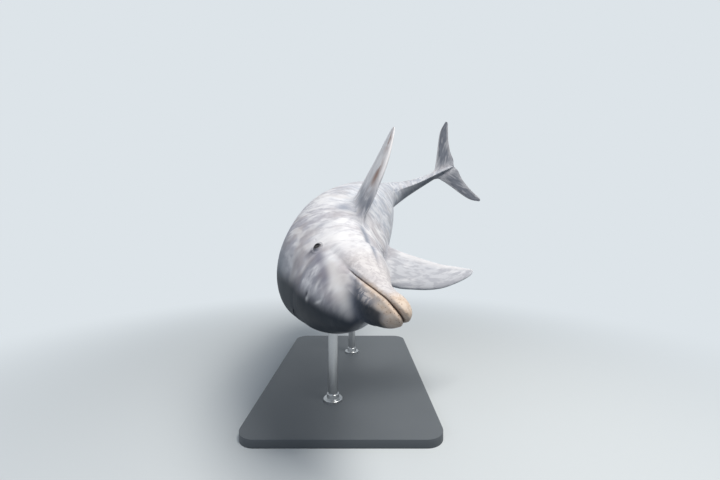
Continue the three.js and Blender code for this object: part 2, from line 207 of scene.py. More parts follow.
at_spine = flesh(*np.array([[300.], [0.], [0.]]))[0]
print("field at the spine, 300 mm back:", round(float(at_spine)), "mm")

# %% [markdown]
# ## A fine net over the straight animal
# Rays leave the spine in rings, and each stops where the field turns positive. Over the face
# the rings lean forward like the ribs of an umbrella, so that the tip of the beak and the steep
# melon are both well covered. The net is drawn closer together at the mouth, the eyes and the
# blowhole, which need it, and wider elsewhere.

# %% Cast the rays
# rows of s on the spine and how far the rays lean there, 90 degrees being straight out
FACE = [[70, 4], [70, 15], [70, 30], [70, 48], [70, 66], [76, 78], [92, 84], [110, 84], [128, 82],
        [145, 78], [160, 73], [175, 69], [190, 66], [206, 63], [222, 61], [240, 60], [260, 60],
        [280, 62], [300, 66], [320, 71], [342, 78], [366, 85], [390, 90]]
AROUND, FACE_RINGS, BODY_RINGS = 440, 330, 300
BODY_FROM = 395                                        # where the leaning rings end


def spread(low, high, count, busy):
    """count values from low to high, closer together round each (centre, width, times)."""
    fine = np.linspace(low, high, 4001)
    density = 1 + sum(times * hump(fine - centre, width) for centre, width, times in busy)
    total = np.concatenate([[0], np.cumsum((density[1:] + density[:-1]) / 2)])
    return np.interp(np.linspace(0, total[-1], count), total, fine)


def rays_out(start, run, reach=260, halvings=26):
    """Where rays from start leave the flesh, found by halving the reach again and again. start
    and run are lists of three arrays."""
    near = np.zeros(np.broadcast(*start, *run).shape)
    far = near + reach
    for _ in range(halvings):
        t = (near + far) / 2
        inside = flesh(*(a + b * t for a, b in zip(start, run))) < 0
        near = np.where(inside, t, near)
        far = np.where(inside, far, t)
    return np.stack([a + b * near for a, b in zip(start, run)], -1)


# centre, width and times: the mouth and eyes on both sides, and the top of the head
busy_angles = [(172, 10, 3.2), (368, 10, 3.2), (8, 10, 3.2), (90, 9, 1.2)]
angles = np.radians(spread(0, 360, AROUND + 1, busy_angles)[:-1])
knots = np.arange(len(FACE))
face_rows = spread(0, knots[-1], FACE_RINGS, [(20, 0.8, 2.4), (2, 2, 0.8)])
on_spine, leaning = np.array(FACE, float).T
down_body = np.linspace(0, 1, BODY_RINGS) ** 1.12      # a little closer together behind the head
stations = np.concatenate([np.interp(face_rows, knots, on_spine),
                           BODY_FROM + (BODY_END - BODY_FROM) * down_body])
leans = np.radians(np.concatenate([np.interp(face_rows, knots, leaning),
                                   np.full(BODY_RINGS, 90.0)]))[:, None]
ahead = -np.cos(leans) + 0 * angles
net = rays_out([stations[:, None] + 0 * ahead, 0 * ahead, 0 * ahead],
               [ahead, np.sin(leans) * np.cos(angles), np.sin(leans) * np.sin(angles)])
print("net:", net.shape[0], "rings of", net.shape[1])

# %% [markdown]
# ## Folds, lips and lids
# The small forms give the head its life. Each is a ridge or a groove of known width and depth,
# pushed out of the skin or into it along the skin's own direction:
# - the mouth, a groove between two full lips, deepest between the tips of the jaws;
# - the crease where the forehead meets the beak;
# - the eye, a low swelling with an almond opening, a rim and a shallow moat;
# - the ear, a pinhole behind the eye;
# - the blowhole, a crescent with its horns forward, and a pit and a scratch in front of it;
# - the throat folds, because the neck is bent down and its skin has to go somewhere;
# - the slit under the tail, and the low keel along the top of the tail stock.
# They could be painted as bumps, but a bump casts no shadow and leaves the outline smooth.

# %% Lips and crease
FACE_END = 300                                         # the forms of the beak stop here
# rows of where, how high and how wide, in millimetres; a groove is negative
LIPS = [(8, 1.5, 5), (-8.5, 1.9, 5.5)]                 # measured up from the mouth's line
CREASE = [(17, 3.2, 9), (-17, 3.4, 11), (0, -5.5, 5.5)]


def ridges(x, rows):
    """Ridges and grooves side by side across x."""
    return sum(high * hump(x - at, wide) for at, high, wide in rows)


def past_crease(s, y, z):
    """Below zero on the forehead, above it on the beak, and about a distance from the crease."""
    return forehead(s, y, z) - beak(s, y, z)


s, y, z = net[..., 0], net[..., 1], net[..., 2]
from_mouth = z - through(MOUTH, s)
face_only = (s < FACE_END) * 1.0
gape = (1 - ease(176, 214, s)) * face_only
tip = (1 - ease(4, 46, s)) * face_only
mouth_groove = gape * (2.6 + 2.2 * tip) * hump(from_mouth, 1.5 + 0.5 * tip)
tip_notch = tip * 9 * np.exp(-np.abs(from_mouth) / 8)
lips = gape * ridges(from_mouth, LIPS)
corner_dimple = 1.6 * hump(s - 214, 16) * hump(from_mouth + 1, 8)
crease_form = ease(2, 30, z) * face_only * ridges(past_crease(s, y, z), CREASE)
deepest = float((mouth_groove + tip_notch).max())
print("deepest between the tips of the jaws:", round(deepest, 1), "mm")

# %% Eyelids and ear
EYE = {"s": 344, "z": 18, "radius": 15}
HEAD_SIDE = 60                                         # farther out than this is the head's side
OPENING_LONG, OPENING_ABOVE, OPENING_BELOW = 9.6, 7.0, 6.2      # half axes of the eye's opening
LID_RIM = [(1.35, 1.5, 0.22), (2.1, -1.3, 0.3), (2.8, 0.7, 0.35)]   # in times the opening
near_eye = (np.abs(y) > HEAD_SIDE) * 1.0
along_eye = s - EYE["s"]
up_eye = z - EYE["z"] + 0.12 * along_eye
opening_high = np.where(up_eye > 0, OPENING_ABOVE, OPENING_BELOW)
lid = np.hypot(along_eye / OPENING_LONG, up_eye / opening_high)     # 1 on the edge of the opening
swelling = 6.2 * np.exp(-(along_eye ** 2 + (1.2 * up_eye) ** 2) / 18 ** 2)
eye_form = near_eye * (swelling + ridges(lid, LID_RIM))
opening = near_eye * (1 - ease(0.9, 1.08, lid))
ear = near_eye * 2.5 * hump(np.hypot(s - 398, z - 4), 2.6)
print("eye opening:", 2 * OPENING_LONG, "by", OPENING_ABOVE + OPENING_BELOW, "mm")

# %% Blowhole, pit, scratch and keel
HEAD_TOP = 60                                          # higher than this is the head's top
BLOWHOLE_AT, BLOWHOLE_RIM = -4, [(0, 1.2, 9), (0, -5.0, 2.2)]
PIT, PIT_EDGE, SCRATCH = (252, -67), (245, -61), (203, -52)     # s and y of each


def past_blowhole(s, y):
    """How far behind the crescent of the blowhole a point lies."""
    return (s - 352) + (y / 19) ** 2 * 10


def spot(s, y, at):
    """Distance from a place on the top of the head."""
    return np.hypot(s - at[0], y - at[1])


def off_scratch(s, y, times):
    """Distance from the scratch, where it reaches some times as far as it is wide."""
    behind = s - SCRATCH[0]
    return np.hypot(behind / times, y - SCRATCH[1] - 0.1 * behind)


on_top = (z > HEAD_TOP) * 1.0
blowhole = on_top * (1 - ease(17, 23, np.abs(y - BLOWHOLE_AT)))
blowhole_form = blowhole * ridges(past_blowhole(s, y), BLOWHOLE_RIM)
pit = on_top * (2.4 * hump(spot(s, y, PIT), 4.5) - 1.0 * hump(spot(s, y, PIT_EDGE) - 4, 4))
scratch = on_top * 1.2 * hump(off_scratch(s, y, 2.6), 3)
forehead_tuck = 5.0 * ease(40, 110, z) * hump(np.hypot((s - 205) / 70, (y - 15) / 55), 1)
keel = 2.4 * hump(y, 6) * ease(1640, 1760, s) * (1 - ease(2080, 2150, s))
print("deepest of the pit:", round(float(pit.max()), 1), "mm")

# %% Throat folds and slit
FOLDS = [(0, -7.5, 6), (30, -5.5, 6), (66, -2.5, 11), (15, 2.6, 8), (47, 2.0, 10), (-17, 2.2, 11)]
JAW_LINE = [(17, 1.2, 5), (25, -2.6, 4.5), (33, 1.2, 5)]        # in degrees from the belly's middle


def from_belly(y, z):
    """Degrees round the body from the middle of the belly, up to 180 on either side."""
    round_body = np.degrees(np.arctan2(z, y)) + 90
    return np.abs(np.where(round_body > 180, round_body - 360, round_body))


def past_fold(s, below):
    """How far behind the first throat fold a point lies. The fold runs back up both sides."""
    return s - (403 + 0.172 * below ** 2)


below = from_belly(y, z)
folds = (z < 0) * (s > FACE_END) * (1 - ease(24, 36, below)) * ridges(past_fold(s, below), FOLDS)
jaw_line = (z < 0) * ease(150, 215, s) * (1 - ease(400, 470, s))
folds = folds + jaw_line * ridges(below, JAW_LINE)
slit = (z < 0) * 3.0 * hump(y, 2.6) * ease(1560, 1590, s) * (1 - ease(1668, 1690, s))
slit_lips = (z < 0) * 1.4 * hump(y, 11) * ease(1540, 1590, s) * (1 - ease(1670, 1710, s))
print("deepest throat fold:", round(float(-folds.min()), 1), "mm")

# %% Push the net out and in
SOCKET = 8.0                                           # how deep the skin turns in round the eye
relief = (lips - mouth_groove - tip_notch - corner_dimple + crease_form + eye_form + blowhole_form
          - forehead_tuck - pit - scratch - ear + folds + keel + slit_lips - slit)
relief = relief * (1 - opening) - SOCKET * opening

down_net = np.gradient(net, axis=0)
round_net = (np.roll(net, -1, 1) - np.roll(net, 1, 1)) / 2
outward = np.cross(round_net, down_net)
outward *= np.sign((outward * net * [0, 1, 1]).sum(-1).mean())
outward /= np.linalg.norm(outward, axis=-1, keepdims=True) + 1e-9
straight_body = net + outward * relief[..., None]
print("relief from", round(float(relief.min()), 1), "to", round(float(relief.max()), 1), "mm")

# %% [markdown]
# ## The bend
# The pose is a spine: a chain of short links, each turned a little from the one before. Six
# zones say how much the body pitches, swings and twists along them, and the turning inside a
# zone swells and fades, so that there is no kink. Moving every point with its link bends the
# skin as muscle would. A lattice could do it too, but a chain keeps each length true.

# %% The spine
LINK, SPINE_END = 20, 2400                             # a link's length, and room behind the tail
# where each zone starts and ends, and its degrees of pitch, swing and twist
ZONES = [[355, 715, 36, 0, -2], [625, 985, -2, 7, -1], [985, 1435, 6, 3.4, 1],
         [1345, 1795, 38, 9.8, 1], [1705, 2065, 39, -3.2, 1], [1975, 2200, 16, 2, 0]]
# the head keeps straight up to here; where that link sits, and its turn as an axis times radians
HEAD_FROM, HEAD_AT, HEAD_TURN = 400, (-4, -444, 495), (-1.27, -1.996, 0.95)


def turn(vector):
    """The 3 by 3 matrix of a turn about a vector, by its length in radians."""
    vector = Vector(vector)
    if vector.length == 0:
        return np.eye(3)
    return np.array(Matrix.Rotation(vector.length, 3, vector.normalized()))


links = np.arange(0, SPINE_END + LINK, LINK)
link_turns = [turn(HEAD_TURN)]
link_places = [np.array(HEAD_AT, float)]
for station in links[links > HEAD_FROM]:
    middle = station - LINK / 2
    bend = np.zeros(3)
    for start, end, pitch, yaw, twist in ZONES:
        if start < middle < end:
            share = (1 - math.cos(2 * math.pi * (middle - start) / (end - start))) / (end - start)
            bend += np.radians([twist, pitch, yaw]) * share * LINK
    link_turns.append(link_turns[-1] @ turn(bend))
    run = link_turns[-2][:, 0] + link_turns[-1][:, 0]
    link_places.append(link_places[-1] + run / np.linalg.norm(run) * LINK)
for station in links[links < HEAD_FROM][::-1]:
    link_turns.insert(0, link_turns[0])
    link_places.insert(0, link_places[0] - link_turns[0][:, 0] * LINK)
link_turns, link_places = np.array(link_turns), np.array(link_places)
print("links:", len(links), "the last at", link_places[-1].round())


# %% Bend any point
def spine_at(back):
    """Where the spine runs at s = back, and its axes there, between two links."""
    x = np.clip(np.asarray(back, float) / LINK, 0, len(links) - 1.001)
    i = x.astype(int)
    t = (x - i)[..., None]
    middle = link_places[i] * (1 - t) + link_places[i + 1] * t
    axes = link_turns[i] * (1 - t[..., None]) + link_turns[i + 1] * t[..., None]
    return middle, axes


def posed(points):
    """Straight animal in millimetres to the pose in metres. Points ahead of it follow link 0."""
    inside = np.maximum(points[..., 0], 0)
    middle, axes = spine_at(inside)
    local = np.stack([points[..., 0] - inside, points[..., 1], points[..., 2]], -1)
    return (middle + np.einsum("...ij,...j->...i", axes, local)) * MM


print("notch of the flukes at", posed(np.array([BODY_END, 0., 0.])).round(3))

# %% [markdown]
# ## Fins
# A fin has no bone-thick shaft to show: it is a blade with a round leading edge and a thin
# trailing one, like a wing. Each is built from such sections, from deep in the body out to the
# tip, with its leading and trailing edges given as curves. Towards the root the section swells
# and the edges run out along the body, because a living fin grows out of it with no corner.

# %% Sections of a blade
SECTION = 64                                           # points round a section


def blade(lead, trail, thick, swell):
    """Sections of a wing. lead and trail are rows of (back, span), thick is its thickness over
    its chord, and swell adds millimetres to half of it."""
    turn_round = np.linspace(0, 2 * np.pi, SECTION, endpoint=False)
    share = (1 - np.cos(turn_round)) / 2
    wing = (0.2969 * np.sqrt(share) - 0.126 * share - 0.3516 * share ** 2
            + 0.2843 * share ** 3 - 0.1015 * share ** 4) / 0.1
    chord = np.linalg.norm(trail - lead, axis=1)
    half = (np.maximum(chord * thick / 2, 0.8)[:, None] * wing
            + swell[:, None] * np.sin(np.pi * share))
    edge = 0.8 * np.sin(np.pi * share) ** 0.35
    height = np.maximum(half, edge) * np.where(turn_round < np.pi, 1, -1)
    height[:, 0] = 0
    flat = lead[:, None] * (1 - share[:, None]) + trail[:, None] * share[:, None]
    # back, span, height and share of the chord, 0 at the leading edge
    return np.stack([flat[..., 0], flat[..., 1], height, share + 0 * height], -1)


def along_fin(sections, reach, stretch):
    """Where a fin's pattern is read, drawn out along the span, then shares of chord and span."""
    back, span, height, chord = np.moveaxis(sections, -1, 0)
    return np.stack([np.abs(span) * stretch, back - back[:, :1], height, chord,
                     reach[:, None] + 0 * chord], -1)


def rows_to_tip(count):
    """Places from root to tip, closer together at the tip, where the outline turns."""
    return 1 - (1 - np.linspace(0, 1, count)) ** 1.5


print("a section has", SECTION, "points")

# %% Flippers
LEFT_ROOT, RIGHT_ROOT = 525, 472                       # s of the shoulders
# rows of reach, from 0 at the shoulder to 1 at the tip, and a share of the length
FLIPPER_LEAD = [[-.3, -.02], [0, -.02], [.2, -.03], [.35, 0], [.5, .04], [.65, .1], [.8, .19],
                [.9, .26], [.97, .32], [1, .36]]
FLIPPER_CHORD = [[-.3, .38], [0, .38], [.2, .38], [.35, .35], [.5, .31], [.65, .255],
                 [.8, .185], [.9, .125], [.97, .07], [1, .022]]
FLIPPER_CHORD_TIMES = 1.07


def flipper(root, low, droop, feather, sweep, hook, side, length):
    """A flipper that grows at s = root, low degrees under the side of the body. droop, feather
    and sweep turn it in degrees, and hook bends its leading edge. side is 1 on the right."""
    v = -0.28 + 1.28 * rows_to_tip(130)
    root_flare = np.exp(-np.maximum(v, 0) * length / 26)
    lead = through(FLIPPER_LEAD, v) * length * hook
    trail = lead + through(FLIPPER_CHORD, v) * length * FLIPPER_CHORD_TIMES
    lead = np.stack([lead - 14 * root_flare, v * length], -1)
    trail = np.stack([trail + 18 * root_flare, v * length], -1)
    sections = blade(lead, trail, 0.17, 8 * root_flare)
    set_to = (Matrix.Rotation(math.radians(side * sweep), 3, "Z")
              @ Matrix.Rotation(math.radians(feather), 3, "Y")
              @ Matrix.Rotation(math.radians(-side * droop), 3, "X"))
    local = sections[..., :3] * [1, side, 1]
    shoulder = [root, side * through(WIDTH, root) * math.cos(math.radians(low)),
                -through(BELLY, root) * math.sin(math.radians(low))]
    return local @ np.array(set_to).T + np.array(shoulder, float), along_fin(sections, v, 0.35)


def rigid(points, station):
    """Points that all follow the spine at one station, because a flipper is stiff."""
    middle, axes = spine_at(station)
    return (middle + (points - [station, 0, 0]) @ axes.T) * MM


left_straight, left_flow = flipper(LEFT_ROOT, low=62, droop=63, feather=-12, sweep=6, hook=0.92,
                                   side=-1, length=370)
right_straight, right_flow = flipper(RIGHT_ROOT, low=39, droop=52, feather=41, sweep=-28, hook=1.2,
                                     side=1, length=384)
left_posed, right_posed = rigid(left_straight, LEFT_ROOT), rigid(right_straight, RIGHT_ROOT)
print("left flipper's tip at", left_posed[-1].mean(0).round(3))

# %% Flukes
FLUKE_FRONT, FLUKE_BACK, FLUKE_SPAN, FLUKE_SWEEP = 2042, 2192, 280, 196
# rows of reach and a share of the sweep, then of reach and millimetres
FLUKE_LEAD = [[0, 0], [.1, .08], [.25, .21], [.5, .41], [.75, .62], [.9, .79], [1, 1]]
FLUKE_TRAIL = [[0, -22], [.035, -10], [.08, -1], [.15, 0], [.35, 2], [.6, 19], [.8, 40],
               [.93, 56], [.98, 58], [1, 52]]


def flukes():
    """Both flukes as one blade from tip to tip, its tips bent down a little."""
    right = rows_to_tip(110)
    u = np.concatenate([-right[::-1], right[1:]])
    reach = np.abs(u)
    root_flare = np.exp(-reach * FLUKE_SPAN / 40)
    lead = FLUKE_FRONT + through(FLUKE_LEAD, reach) * FLUKE_SWEEP - 14 * root_flare
    trail = FLUKE_BACK + through(FLUKE_TRAIL, reach)
    sections = blade(np.stack([lead, u * FLUKE_SPAN], -1), np.stack([trail, u * FLUKE_SPAN], -1),
                     0.11, 5 * root_flare)
    back, span, height = np.moveaxis(sections[..., :3], -1, 0)
    curved = np.stack([back, span, height - 19 * (span / FLUKE_SPAN) ** 2], -1)
    return curved, along_fin(sections, reach, 0.3)


fluke_straight, fluke_flow = flukes()
print("from tip to tip:", 2 * FLUKE_SPAN, "mm")

# %% Dorsal fin
DORSAL_FRONT, DORSAL_BACK, DORSAL_HEIGHT = 935, 1235, 205


def dorsal_fin():
    """A hooked fin that stands on the back. Its sections lie flat, so span and height swap."""
    v = -0.25 + 1.25 * rows_to_tip(110)
    up = np.maximum(v, 0)
    root_flare = np.exp(-up * DORSAL_HEIGHT / 24)
    lead = DORSAL_FRONT + 329 * (0.42 * v + 0.58 * up ** 1.9) - 30 * root_flare
    trail = (DORSAL_BACK - 95 * np.sin(np.minimum(up * 1.05, 1) * np.pi * 0.62) ** 1.2
             + 147 * up ** 2.3 + 16 * root_flare)
    height = through(BACK, 1080) - 12 + v * DORSAL_HEIGHT
    sections = blade(np.stack([lead, height], -1), np.stack([trail, height], -1), 0.11,
                     8 * root_flare)
    return sections[..., [0, 2, 1]], along_fin(sections, up, 0.5)


dorsal_straight, dorsal_flow = dorsal_fin()
print("dorsal fin:", DORSAL_HEIGHT, "mm high")

# %% Every form, straight and posed
still = np.zeros(straight_body.shape[:2] + (5,))
forms = [
    ("body", straight_body, posed(straight_body), still),
    ("flipper_left", left_straight, left_posed, left_flow),
    ("flipper_right", right_straight, right_posed, right_flow),
    ("flukes", fluke_straight, posed(fluke_straight), fluke_flow),
    ("dorsal_fin", dorsal_straight, posed(dorsal_straight), dorsal_flow),
]
print("forms:", [(name, grid.shape[:2]) for name, grid, _, _ in forms])

# %% [markdown]
# ## One skin
# Body and fins are five closed nets that pass through each other. The boolean modifier joins
# them to one closed surface, where a simple join would leave walls inside. It leaves a hard
# corner round each fin, so the points near the joins are then eased towards their neighbours
# some dozens of times, nearest the join the most, which wears the corner to a fillet.

# %% From a net to a closed mesh
def closed_mesh(name, grid):
    """A mesh of quads through rings of points, each end closed by a fan."""
    rings, around = grid.shape[:2]
    points = np.concatenate([grid.reshape(-1, 3), grid[:1].mean(1), grid[-1:].mean(1)])
    ring = np.arange(around)
    after = (ring + 1) % around
    rows = np.arange(rings - 1)[:, None] * around
    quads = np.stack([rows + ring, rows + after, rows + around + after, rows + around + ring], -1)
    first = np.stack([0 * ring + rings * around, after, ring], -1)
    last = (rings - 1) * around
    end = np.stack([0 * ring + rings * around + 1, last + ring, last + after], -1)
    faces = quads.reshape(-1, 4).tolist() + first.tolist() + end.tolist()
    a, b, c = grid[:-1], np.roll(grid[:-1], -1, 1), grid[1:]
    if (np.cross(b - a, c - a) * (a - a.mean(1, keepdims=True))).sum() < 0:
        faces = [face[::-1] for face in faces]
    mesh = bpy.data.meshes.new(name)
    mesh.from_pydata(points.tolist(), [], faces)
    mesh.update()
    return mesh


def place(name, mesh):
    """An object in the scene, with its place in its mesh."""
    made = bpy.data.objects.new(name, mesh)
    scene.collection.objects.link(made)
    return made


whole = place("skin", closed_mesh("body", forms[0][2]))
print("body:", len(whole.data.vertices), "points")

# %% Join the nets
tools = []
for name, _, grid, _ in forms[1:]:
    tool = place(name, closed_mesh(name, grid))
    tools.append(tool)
    join = whole.modifiers.new(name, "BOOLEAN")
    join.operation, join.solver, join.object = "UNION", "MANIFOLD", tool
bpy.context.view_layer.update()
joined = bpy.data.meshes.new_from_object(whole.evaluated_get(bpy.context.evaluated_depsgraph_get()))
whole.modifiers.clear()
whole.data = joined
for tool in tools:
    bpy.data.objects.remove(tool)
print("joined skin:", len(joined.vertices), "points,", len(joined.polygons), "faces")

# %% [markdown]
# ## Every point remembers where it sat
# The markings are laid out on the straight animal, so each point of the joined skin looks up
# the net point that it came from. Points that the join made new are the ones that match none,
# and they trace the roots of the fins.

# %% Straight places of the joined points
def positions(mesh):
    """The places of a mesh's points, one row each."""
    flat = np.empty(len(mesh.vertices) * 3, np.float32)
    mesh.vertices.foreach_get("co", flat)
    return flat.reshape(-1, 3).astype(float)


def nearest(tree, points):
    """Index and distance of the nearest stored point to each of these."""
    found = [tree.find(point)[1:] for point in points]
    return np.array([f[0] for f in found]), np.array([f[1] for f in found])


def stored(points):
    """A search tree of points."""
    tree = kdtree.KDTree(len(points))
    for i, point in enumerate(points):
        tree.insert(point, i)
    tree.balance()
    return tree


source = np.concatenate([grid.reshape(-1, 3) for _, _, grid, _ in forms])
straight_source = np.concatenate([grid.reshape(-1, 3) for _, grid, _, _ in forms])
flow_source = np.concatenate([flow.reshape(-1, 5) for _, _, _, flow in forms])
which = np.concatenate([np.full(grid[..., 0].size, k) for k, (_, grid, _, _) in enumerate(forms)])
at = positions(joined)
match, apart = nearest(stored(source), at)
straight = straight_source[match]
flow = flow_source[match]
form = which[match]
edges = np.empty(len(joined.edges) * 2, np.int32)
joined.edges.foreach_get("vertices", edges)
edges = edges.reshape(-1, 2)
seam = np.zeros(len(at), bool)
crossing = form[edges[:, 0]] != form[edges[:, 1]]
seam[edges[crossing].ravel()] = True
_, from_seam = nearest(stored(at[seam]), at)
print("points on the fin roots:", int(seam.sum()),
      "largest mismatch:", round(float(apart.max()) / MM, 2), "mm")

# %% Ease the fin roots
FILLET = 0.020                                         # metres
ROUNDS, PULL = 60, 0.6                                 # how often, and how far, points are drawn
soft = np.nonzero(from_seam < 2 * FILLET)[0]
weight = np.zeros(len(at))
weight[soft] = 1 - ease(0.3 * FILLET, 1.6 * FILLET, from_seam[soft])
near_edges = edges[(weight[edges] > 0).any(1)]
count = np.bincount(near_edges.ravel(), minlength=len(at)).clip(1)[:, None]
for _ in range(ROUNDS):
    total = np.stack([np.bincount(near_edges[:, 0], at[near_edges[:, 1], k], len(at))
                      + np.bincount(near_edges[:, 1], at[near_edges[:, 0], k], len(at))
                      for k in range(3)], -1)
    at += (total / count - at) * PULL * weight[:, None]
joined.vertices.foreach_set("co", at.ravel())
joined.update()
print("eased points:", len(soft))

# %% [markdown]
# ## Where the colours go
# A bottlenose dolphin wears a grey cape on its back, pale flanks and a nearly white throat and
# belly. This one is pale and smudged. Its crown is dark, its own grey deepened by painted shade,
# with a nearly white edge above the beak, a dusky band runs from the melon to the eye, and the
# skin round the eye is dark. Its lips and the tips of its jaws are cream with a few specks.
# Painted shade darkens the folds, the crease over the beak, the slit of the blowhole, a pit, the
# skin above the flippers, the underside of the belly and the right side of the tail stock, and it
# deepens the dark grey on top of the beak. Each of these is a mask from 0 to 1. It could be
# painted by hand, but here it is worked out from the straight places and kept on the points, so
# that the material can mix its colours by name.

# %% Masks of the whole body
# rows of s and half the width of the dark crown, its own grey deepened by painted shade
CROWN = [[100, 5], [127, 29], [184, 46], [250, 68], [320, 82], [400, 92], [600, 100]]
s, y, z = straight.T
body = form == 0
height = np.sin(np.arctan2(z, np.abs(y)))              # -1 under the belly, 1 on the back
fin = 0.5 + 0.5 * np.where(body, -1, 1) * ease(0, 0.045, from_seam)
# the crown: dark grey of its own, made near black with painted shade
crown = (body * (z > 40) * (1 - ease(-16, 16, np.abs(y) - through(CROWN, s)))
         * (1 - ease(470, 680, s)))
cape = body * ease(0.25, 0.95, height) * ease(300, 500, s)
cheek = body * hump(np.hypot((s - 325) / 105, (z + 38) / 46), 1) * (s < 480)
mottled = (1 - 0.4 * body * (1 - ease(-0.8, -0.05, height))) * (1 - 0.75 * cheek)
# painted shade: the underside of the belly, darker and bluer
underside = body * (1 - ease(-0.85, -0.2, height)) * ease(560, 760, s)
# painted shade: the right side of the tail stock, below its keel
shaded_stock = (z < 12) * ease(1620, 1800, s) * ease(-2, 7, y) * body
masks = dict(fin=fin, crown=crown, cape=cape, cheek=cheek, mottled=mottled, underside=underside,
             shaded_stock=shaded_stock)
print("crown covers", round(100 * float(crown.mean()), 1), "percent of the points")

# %% Masks of the beak and forehead
PALE_MELON = [[110, 78], [143, 64], [184, 53], [215, 38], [270, 18]]         # s, z
mouth_gap = z - through(MOUTH, s)
on_face = s < FACE_END
line = (1 - ease(178, 212, s)) * on_face * hump(mouth_gap, 1.6 + 0.8 * (1 - ease(0, 90, s)))
tilt = np.degrees(np.arctan2(mouth_gap, np.abs(y)))    # how steeply above the mouth's line
dorsal = ease(36, 56, tilt) * ease(10, 42, s)
cap_end = np.where(mouth_gap > 0, 82, 62)              # how far back the cream of the tips reaches
tip_cap = on_face * (1 - ease(cap_end - 46, cap_end, s)) * (1 - dorsal)
lip_width = np.where(mouth_gap > 0, 9 + 9 * (1 - ease(50, 150, s)), 7)
cream = np.maximum((1 - ease(110, 200, s)) * on_face * hump(mouth_gap, lip_width), tip_cap)
jaw = on_face * (1 - ease(-14, 4, mouth_gap)) * (1 - ease(190, 290, s))
on_beak = past_crease(s, y, z)
pigment = on_face * ease(-2, 9, on_beak) * ease(7, 18, mouth_gap) * ease(30, 84, s)
# the top of the beak: dark grey of its own, made near black with painted shade
beak_top = on_face * ease(-2, 9, on_beak) * dorsal
# painted shade along the crease where the forehead meets the beak
crease = on_face * hump(on_beak - 2, 10) * ease(4, 32, z)
pale_melon = (on_face * hump(z - through(PALE_MELON, s), 19) * ease(108, 140, s)
              * (1 - ease(225, 290, s)))
melon_smoke = (body * (1 - ease(300, 350, s)) * ease(110, 160, s) * ease(15, 50, z)
               * (1 - crown) * (1 - pale_melon))
masks.update(line=line, cream=cream, jaw=jaw, pigment=pigment, beak_top=beak_top, crease=crease,
             pale_melon=pale_melon, melon_smoke=melon_smoke)
print("points on the lips:", int((cream > 0.5).sum()))

# %% Masks round the eye and on the head's top
BRIDLE = [[190, 80], [225, 60], [266, 45], [330, 24]]  # s, z of the dusky band before the eye
along = s - EYE["s"]
up = z - EYE["z"]
beside = np.abs(y) > HEAD_SIDE
eye_patch = beside * np.maximum(hump(np.hypot(along, 1.1 * up), 16),
                                hump(np.hypot(along - 2, up - 19), 15))
eye_ring = beside * np.maximum(hump(np.hypot(along - 4, up - 8) - 40, 8) * ease(-5, 30, up),
                               hump(along - 78, 15) * hump(up + 20, 60))
lids = beside * (1 - ease(1.05, 1.8, np.hypot(along / 10.0, up / 8.4)))
bridle = beside * hump(z - through(BRIDLE, s), 14) * ease(188, 215, s) * (1 - ease(325, 350, s))
on_head = z > HEAD_TOP
# painted shade in the slit of the blowhole and in the pit before it
vent = on_head * hump(past_blowhole(s, y), 4) * (1 - ease(17, 24, np.abs(y - BLOWHOLE_AT)))
pit = on_head * hump(spot(s, y, PIT), 4)
scars = on_head * np.maximum(hump(spot(s, y, (244, -61)), 5), hump(off_scratch(s, y, 3.4), 2.6))
scars = np.maximum(scars, beside * 0.9 * hump(np.hypot(s - 227, (z - 88) / 2.8), 5))
masks.update(eye_patch=eye_patch, eye_ring=eye_ring, lids=lids, bridle=bridle, vent=vent, pit=pit,
             scars=scars)
print("points round the eyes:", int((eye_patch > 0.5).sum()))

# %% Masks of painted shade in folds, and of blotches
NECK_FOLDS = [(0, 1, 6), (30, 0.8, 5), (66, 0.5, 10)]  # behind the first, strength, width
below = from_belly(y, z)
# painted shade in the throat folds, along the groove under the jaw and above each flipper's root
neck_folds = ((z < 0) * (s > FACE_END) * (1 - ease(26, 40, below))
              * ridges(past_fold(s, below), NECK_FOLDS))
jaw_fold = (z < 0) * ease(140, 220, s) * (1 - ease(420, 480, s)) * hump(below - 25, 5)
shoulder = hump(np.hypot((s - 592) / 46, (below - 44) / 9), 1)
shade = body * np.clip(neck_folds + 0.9 * jaw_fold + 0.9 * shoulder, 0, 1)
behind_eye = hump(np.hypot((s - 470) / 22, (z + 40) / 46), 1)
above_eye = hump(np.hypot((s - 411) / 12, (z - 68) / 30), 1)
on_belly = (z < 0) * hump(np.hypot((s - 868) / 85, y / 42), 1)
blotches = body * np.maximum(beside * np.maximum(0.9 * behind_eye, 0.7 * above_eye), 0.6 * on_belly)
masks.update(shade=shade, blotches=blotches)
print("points in the shade of folds:", int((shade > 0.5).sum()))

# %% Masks of the fins
BORROW = 0.07              # so near a fin, in metres, the body takes over the fin's streaks
near_fin = body & (from_seam < BORROW)
fin_index = np.nonzero(~body)[0]
owner, _ = nearest(stored(at[fin_index]), at[near_fin])
flow[near_fin] = flow[fin_index[owner]]
fin_form = form.copy()     # 0 body, 1 and 2 flippers, 3 flukes, 4 dorsal fin
fin_form[near_fin] = form[fin_index[owner]]

